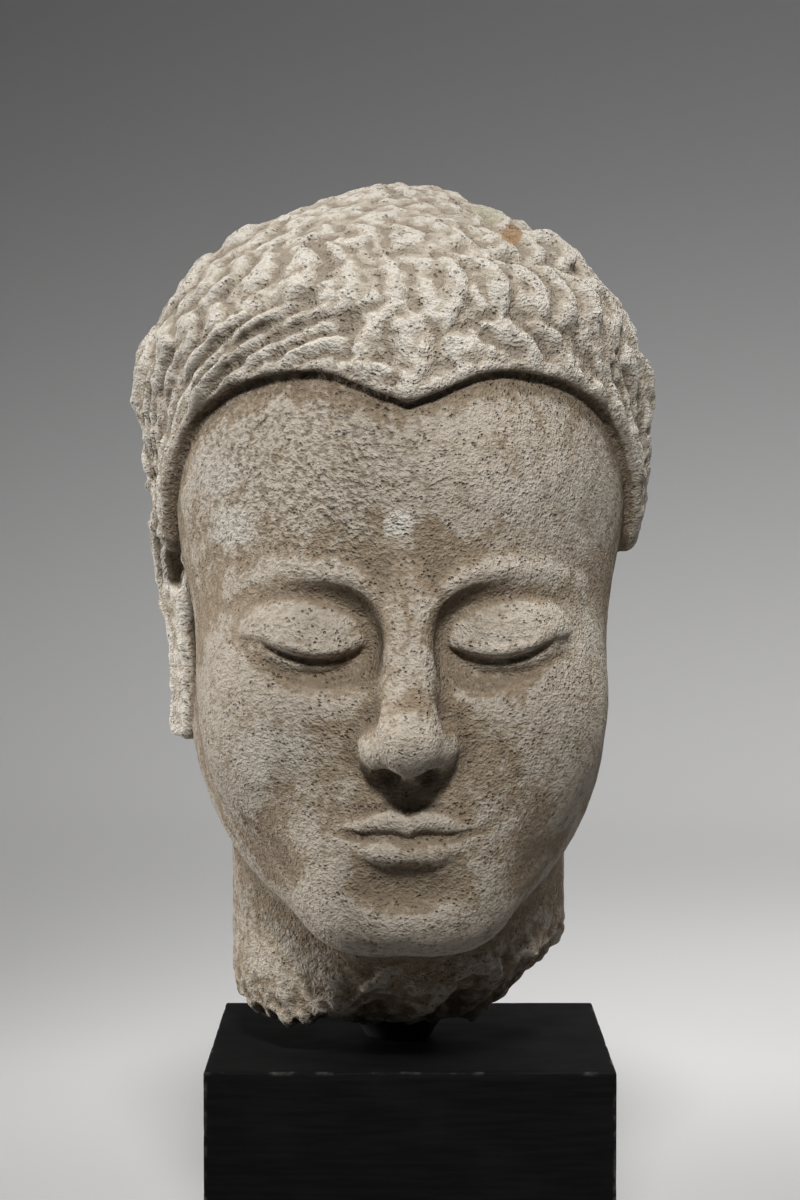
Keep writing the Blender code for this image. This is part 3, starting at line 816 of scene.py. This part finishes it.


# The stucco's colours, from its clean paste to the dark of its cracks, with painted shade for its hollows
# and pores
PASTE_COLOURS = ((0.272, 0.21, 0.144, 1), (0.308, 0.245, 0.171, 1))
WORN_COLOUR = (0.41, 0.35, 0.275, 1)
HAIR_COLOUR = (0.53, 0.475, 0.395, 1)
LIME_COLOUR = (0.66, 0.62, 0.55, 1)
GRAIN_COLOUR = (0.6, 0.55, 0.48, 1)
# Painted shade for the hollows of the carving
HOLLOW_SHADE_COLOUR = (0.17, 0.13, 0.09, 1)
# Painted shade for the sand's pores and the pits
PORE_SHADE_COLOUR = (0.13, 0.1, 0.07, 1)
CRACK_COLOUR = (0.07, 0.05, 0.035, 1)
PALE_MARK = (0.54, 0.49, 0.42, 1)
CHALKY_MARK = (0.54, 0.50, 0.43, 1)

# Stains and pale places seen from the front: across, height, radius, strength and colour
MARKS = (
    (-0.0040, 0.2968, 0.0054, 1.0, (0.62, 0.58, 0.51, 1)),
    (-0.0600, 0.2953, 0.0085, 0.7, (0.58, 0.55, 0.49, 1)),
    (-0.0640, 0.3138, 0.0100, 0.5, (0.52, 0.49, 0.43, 1)),
    (0.0470, 0.2985, 0.0240, 0.45, PALE_MARK),
    (0.0280, 0.3060, 0.0120, 0.3, PALE_MARK),
    (-0.0430, 0.2210, 0.0120, 0.4, CHALKY_MARK),
    (-0.0530, 0.2180, 0.0090, 0.4, CHALKY_MARK),
    (0.0260, 0.2540, 0.0100, 0.35, CHALKY_MARK),
    (0.0560, 0.2600, 0.0120, 0.4, CHALKY_MARK),
    (0.0350, 0.3940, 0.0055, 0.8, (0.30, 0.17, 0.07, 1)),
    (0.0280, 0.4030, 0.0070, 0.35, (0.40, 0.40, 0.26, 1)),
)

# Gouges and cracks seen from the front: across and height of both ends, width and depth
SCORES = (
    (-0.0519, 0.3271, -0.0470, 0.3311, 0.0005, 0.8),
    (-0.0522, 0.3107, -0.0490, 0.3127, 0.0005, 0.6),
    (-0.0212, 0.3285, -0.0107, 0.3258, 0.0003, 0.5),
    (0.0052, 0.3080, 0.0125, 0.3113, 0.0003, 0.8),
    (0.0200, 0.3229, 0.0217, 0.3209, 0.0006, 1.0),
    (0.0302, 0.3093, 0.0335, 0.3103, 0.0005, 0.6),
)

# The roughest patch of skin, high on the brow: its middle, and where it ends and is at its full
ROUGH_PLACE = (-0.035, 0, 0.318)
ROUGH_REACH = (0.055, 0.015)

# How wide its sand, peeled skin, grit, pits, limed patches and stains' edges are
SAND_SIZE = 0.0009
PEEL_SIZE = 0.0019
GRIT_SIZE = 0.0034
PIT_SIZE = 0.0015
PATCH_SIZE = 0.009
STAIN_EDGE_SIZE = 0.006

# The slow change of its tone from place to place, and how deep its grain and pores go
DRIFT_SIZE = 0.05
GRAIN_DEPTH = 0.002

# How far the cracks stray from a straight line, and the size of their wobble
CRACK_SHAKE = 0.0012
SHAKE_SIZE = 1 / 900


def vector_of(add, operation, first, second):
    """A place or direction worked out from two others."""
    return add("VectorMath", {0: first, 1: second}, operation=operation).outputs["Vector"]


def number_of(add, operation, first, second):
    """A number worked out from two places or directions."""
    return add("VectorMath", {0: first, 1: second}, operation=operation).outputs["Value"]


def score_line(add, seen, tips, width):
    """1 along a short ragged groove between two ends, 0 beside it."""
    x, z, x_end, z_end = tips
    reach = math.hypot(x_end - x, z_end - z)
    along, across = (x_end - x) / reach, (z_end - z) / reach
    from_middle = vector_of(add, "SUBTRACT", seen, ((x + x_end) / 2, 0, (z + z_end) / 2))
    shares = []
    for direction, half in (((along, 0, across), reach / 2), ((-across, 0, along), width)):
        share = calculate(add, "DIVIDE", number_of(add, "DOT_PRODUCT", from_middle, direction), half)
        shares.append(calculate(add, "POWER", calculate(add, "ABSOLUTE", share), 2.0))
    return between(add, calculate(add, "ADD", *shares), 1.0, 0.3)


def scored(add, where, seen, front):
    """The gouges and cracks on the front, 1 in the deepest."""
    shake = add("TexNoise", {"Vector": where, "Scale": 1 / SHAKE_SIZE, "Detail": 2.0}).outputs["Color"]
    shake = vector_of(add, "SUBTRACT", shake, (0.5, 0.5, 0.5))
    shake = vector_of(add, "MULTIPLY", shake, (CRACK_SHAKE, 0, CRACK_SHAKE))
    wobbly = vector_of(add, "ADD", seen, shake)
    scores = 0.0
    for *tips, width, depth in SCORES:
        line = calculate(add, "MULTIPLY", score_line(add, wobbly, tips, width), depth)
        scores = calculate(add, "MAXIMUM", line, scores)
    return calculate(add, "MULTIPLY", scores, front)


def limed_paste(add, where, peel, limy):
    """The stucco's colour: sandy paste, paler in the hair, with lime on the crests and painted shade in the
    hollows.
    """
    mottle = cloud(add, where, PATCH_SIZE, 8)
    drift = cloud(add, where, DRIFT_SIZE, 5)
    fine = add("Attribute", attribute_name="fine_relief").outputs["Fac"]
    broad = add("Attribute", attribute_name="broad_relief").outputs["Fac"]
    tone = blend(add, between(add, drift, 0.3, 0.7), *PASTE_COLOURS)
    tone = blend(add, between(add, mottle, 0.4, 0.75, 0, 0.45), tone, WORN_COLOUR)
    tone = blend(add, calculate(add, "MULTIPLY", limy, 0.7), tone, HAIR_COLOUR)
    speckled = calculate(add, "ADD", mottle, calculate(add, "MULTIPLY", peel, 0.6))
    crests = calculate(add, "ADD", speckled, calculate(add, "MULTIPLY", fine, 0.35))
    most = calculate(add, "ADD", calculate(add, "MULTIPLY", limy, 0.42), 0.38)
    tone = blend(add, calculate(add, "MULTIPLY", between(add, crests, 0.85, 1.15), most), tone, LIME_COLOUR)
    # Painted shade: the colour darkens in the fine and broad hollows of the carving
    broad_hollow = between(add, broad, -0.1, -0.8, 0, 0.8)
    hollow = calculate(add, "ADD", between(add, fine, -0.05, -0.7), broad_hollow)
    return blend(add, between(add, hollow, 0.1, 1.3, 0, 0.55), tone, HOLLOW_SHADE_COLOUR)


def stained(add, tone, where, seen, front):
    """The colour with the stains and pale places of the front laid over it."""
    ragged = calculate(add, "MULTIPLY", cloud(add, where, STAIN_EDGE_SIZE, 6), 2.0)
    for across, height, radius, strength, colour in MARKS:
        far = calculate(add, "MULTIPLY", number_of(add, "DISTANCE", seen, (across, 0, height)), ragged)
        share = between(add, far, radius, 0.6 * radius, 0, strength)
        tone = blend(add, calculate(add, "MULTIPLY", share, front), tone, colour)
    return tone


def sanded(add, tone, peel, sandy, limy):
    """The colour with painted shade in the sand's pores and its pale grains, most in the roughest patch."""
    share = calculate(add, "ADD", calculate(add, "MULTIPLY", sandy, 0.3), 0.25)
    share = calculate(add, "SUBTRACT", share, calculate(add, "MULTIPLY", limy, 0.17))
    pores = calculate(add, "MULTIPLY", between(add, peel, 0.52, 0.38), share)
    grains = calculate(add, "MULTIPLY", between(add, peel, 0.54, 0.66), share)
    # Painted shade in the pores, the low parts of the sandy bump
    tone = blend(add, pores, tone, PORE_SHADE_COLOUR)
    return blend(add, calculate(add, "MULTIPLY", grains, 0.6), tone, GRAIN_COLOUR)


def old_stucco():
    """Sandy lime stucco, pitted like a rusk, limed on the crests, with painted shade in its hollows and
    pits.
    """
    made, add, coat = start_finish("stucco")
    where = add("TexCoord").outputs["Object"]
    seen = vector_of(add, "MULTIPLY", where, (1, 0, 1))
    front = between(add, add("SeparateXYZ", {"Vector": where}).outputs[1], 0.01, -0.02)
    limy = add("Attribute", attribute_name="limy").outputs["Fac"]
    sandy = between(add, number_of(add, "DISTANCE", seen, ROUGH_PLACE), *ROUGH_REACH)
    peel = cloud(add, where, PEEL_SIZE, 5, (0.85, 0.85, 1.1))
    grit = cloud(add, where, GRIT_SIZE, 5, (0.7, 0.7, 1.2))
    cells = add("TexVoronoi", {"Vector": where, "Scale": 1 / PIT_SIZE}).outputs["Distance"]
    pits = calculate(add, "MULTIPLY", between(add, cells, 0.42, 0.12), between(add, grit, 0.5, 0.4))
    scores = scored(add, where, seen, front)

    tone = limed_paste(add, where, peel, limy)
    tone = stained(add, tone, where, seen, front)
    tone = sanded(add, tone, peel, sandy, limy)
    # Painted shade in the pits, which the bump also sinks
    tone = blend(add, between(add, pits, 0.1, 0.9, 0, 0.5), tone, PORE_SHADE_COLOUR)
    tone = blend(add, calculate(add, "MULTIPLY", scores, 0.7), tone, CRACK_COLOUR)

    coarse = calculate(add, "MAXIMUM", sandy, calculate(add, "MULTIPLY", limy, 0.4))
    grain = calculate(add, "ADD", calculate(add, "MULTIPLY", coarse, 0.9), 0.65)
    skin = calculate(add, "MULTIPLY", peel, grain)
    skin = calculate(add, "SUBTRACT", skin, calculate(add, "MULTIPLY", pits, 0.6))
    sand = calculate(add, "MULTIPLY", cloud(add, where, SAND_SIZE, 3), 0.7)
    skin = calculate(add, "ADD", skin, sand)
    skin = calculate(add, "SUBTRACT", skin, scores)
    coat({"Base Color": tone, "Roughness": 0.95, "Normal": raised(add, skin, GRAIN_DEPTH)})
    coat({"Specular IOR Level": 0.2})
    return made


carved = head_mesh()
eye_line = BLOCK_HEIGHT + POST_HEIGHT + 2 * SEAT_GAP - NECK_BOTTOM * FINGER
origin = Matrix.Translation((HEAD_SIDEWAYS, -NECK_BACK * FINGER, eye_line))
carved.transform(origin @ Matrix.Scale(FINGER, 4))
carved.shade_smooth()
make_piece("stucco_head", carved, old_stucco(), "head")


# The room
# A pale floor that turns up into a plain wall all round, for the block to stand on.
# It is one sheet, painted matt grey, with painted shade darkening it up the wall.

ROOM_RADIUS = 2.6
ROOM_CURVE = 0.9
ROOM_HEIGHT = 3.2
CURVE_STEPS = 16
NEAR_GREY = (0.48, 0.48, 0.48, 1)
FLOOR_GREY = (0.8, 0.8, 0.8, 1)
# Painted shade: the grey the sheet darkens to as it rises up the wall
WALL_SHADE_GREY = (0.29, 0.29, 0.295, 1)


def room_mesh():
    bm = bmesh.new()
    rim = ROOM_RADIUS - ROOM_CURVE
    profile = [Vector((0, 0, 0)), Vector((0.4 * rim, 0, 0)), Vector((rim, 0, 0))]
    for step in range(1, CURVE_STEPS + 1):
        turn = math.pi / 2 * step / CURVE_STEPS
        profile.append(Vector((rim + ROOM_CURVE * math.sin(turn), 0, ROOM_CURVE * (1 - math.cos(turn)))))
    profile.append(Vector((ROOM_RADIUS, 0, ROOM_HEIGHT)))
    verts = [bm.verts.new(point) for point in profile]
    edges = [bm.edges.new(pair) for pair in zip(verts, verts[1:])]
    bmesh.ops.spin(bm, geom=verts + edges, cent=(0, 0, 0), axis=(0, 0, 1), angle=2 * math.pi, steps=96,
                   use_merge=True)
    bmesh.ops.remove_doubles(bm, verts=bm.verts[:], dist=1e-5)
    bmesh.ops.recalc_face_normals(bm, faces=bm.faces[:])
    for face in bm.faces:
        face.smooth = True
    return bm


def room_paint():
    """Matt grey paint: pale on the floor, darker near the block, and painted shade darkening it up the
    wall.
    """
    made, add, coat = start_finish("room_paint")
    where = add("TexCoord").outputs["Object"]
    flat = vector_of(add, "MULTIPLY", where, (1, 1, 0))
    out = number_of(add, "LENGTH", flat, (0, 0, 0))
    away = calculate(add, "ADD", out, add("SeparateXYZ", {"Vector": where}).outputs[2])
    tone = blend(add, between(add, away, 0.2, 0.6), NEAR_GREY, FLOOR_GREY)
    # Painted shade, darkening the sheet from the floor's edge up the wall
    tone = blend(add, between(add, away, 1.7, 3.7), tone, WALL_SHADE_GREY)
    coat({"Base Color": tone, "Roughness": 1.0, "Specular IOR Level": 0.0})
    return made


room_shell = mesh_of("room", room_mesh())
room_shell.materials.append(room_paint())
room = bpy.data.objects.new("room", room_shell)
scene.collection.objects.link(room)


# Light
# Six soft boxes with grids: the key high in front, a low one on the left and one over the crown,
# and three more for the wall, its right-hand corner and the floor.

# Each lamp: its name, place, what it is aimed at, watts, width and spread in degrees
LAMPS = (
    ("key", (-0.02, -1.35, 1.3), (0, 0, 0.22), 0.6, 0.2, 24),
    ("side", (-1.3, 0.3, 0.5), (0, 0, 0.22), 0.93, 0.5, 24),
    ("crown", (0.3, 0.0, 1.6), (0, 0, 0.35), 0.83, 0.4, 50),
    ("wall", (0.4, 0.9, 2.2), (0.2, 2.05, 0.05), 4.5, 1.2, 80),
    ("corner", (1.6, 1.1, 2.3), (1.0, 1.9, 0), 8.6, 1.2, 110),
    ("floor", (1.5, 0.9, 1.2), (0.2, 0.6, 0), 1.8, 0.6, 50),
)
LAMP_COLOUR = (1.0, 0.99, 0.98)

# Hardly any light comes from around
SKY_COLOUR = (0.9, 0.92, 1.0, 1)
SKY_STRENGTH = 0.01

for name, place, target, power, size, spread in LAMPS:
    lamp = bpy.data.lights.new(name, "AREA")
    lamp.energy = power
    lamp.size = size
    lamp.spread = math.radians(spread)
    lamp.color = LAMP_COLOUR
    holder = bpy.data.objects.new(name, lamp)
    holder.location = place
    holder.rotation_euler = (Vector(target) - Vector(place)).to_track_quat("-Z", "Y").to_euler()
    scene.collection.objects.link(holder)

world = bpy.data.worlds.new("room_light")
world.use_nodes = True
sky = world.node_tree.nodes["Background"]
sky.inputs["Color"].default_value = SKY_COLOUR
sky.inputs["Strength"].default_value = SKY_STRENGTH
scene.world = world
scene.view_settings.view_transform = "Standard"
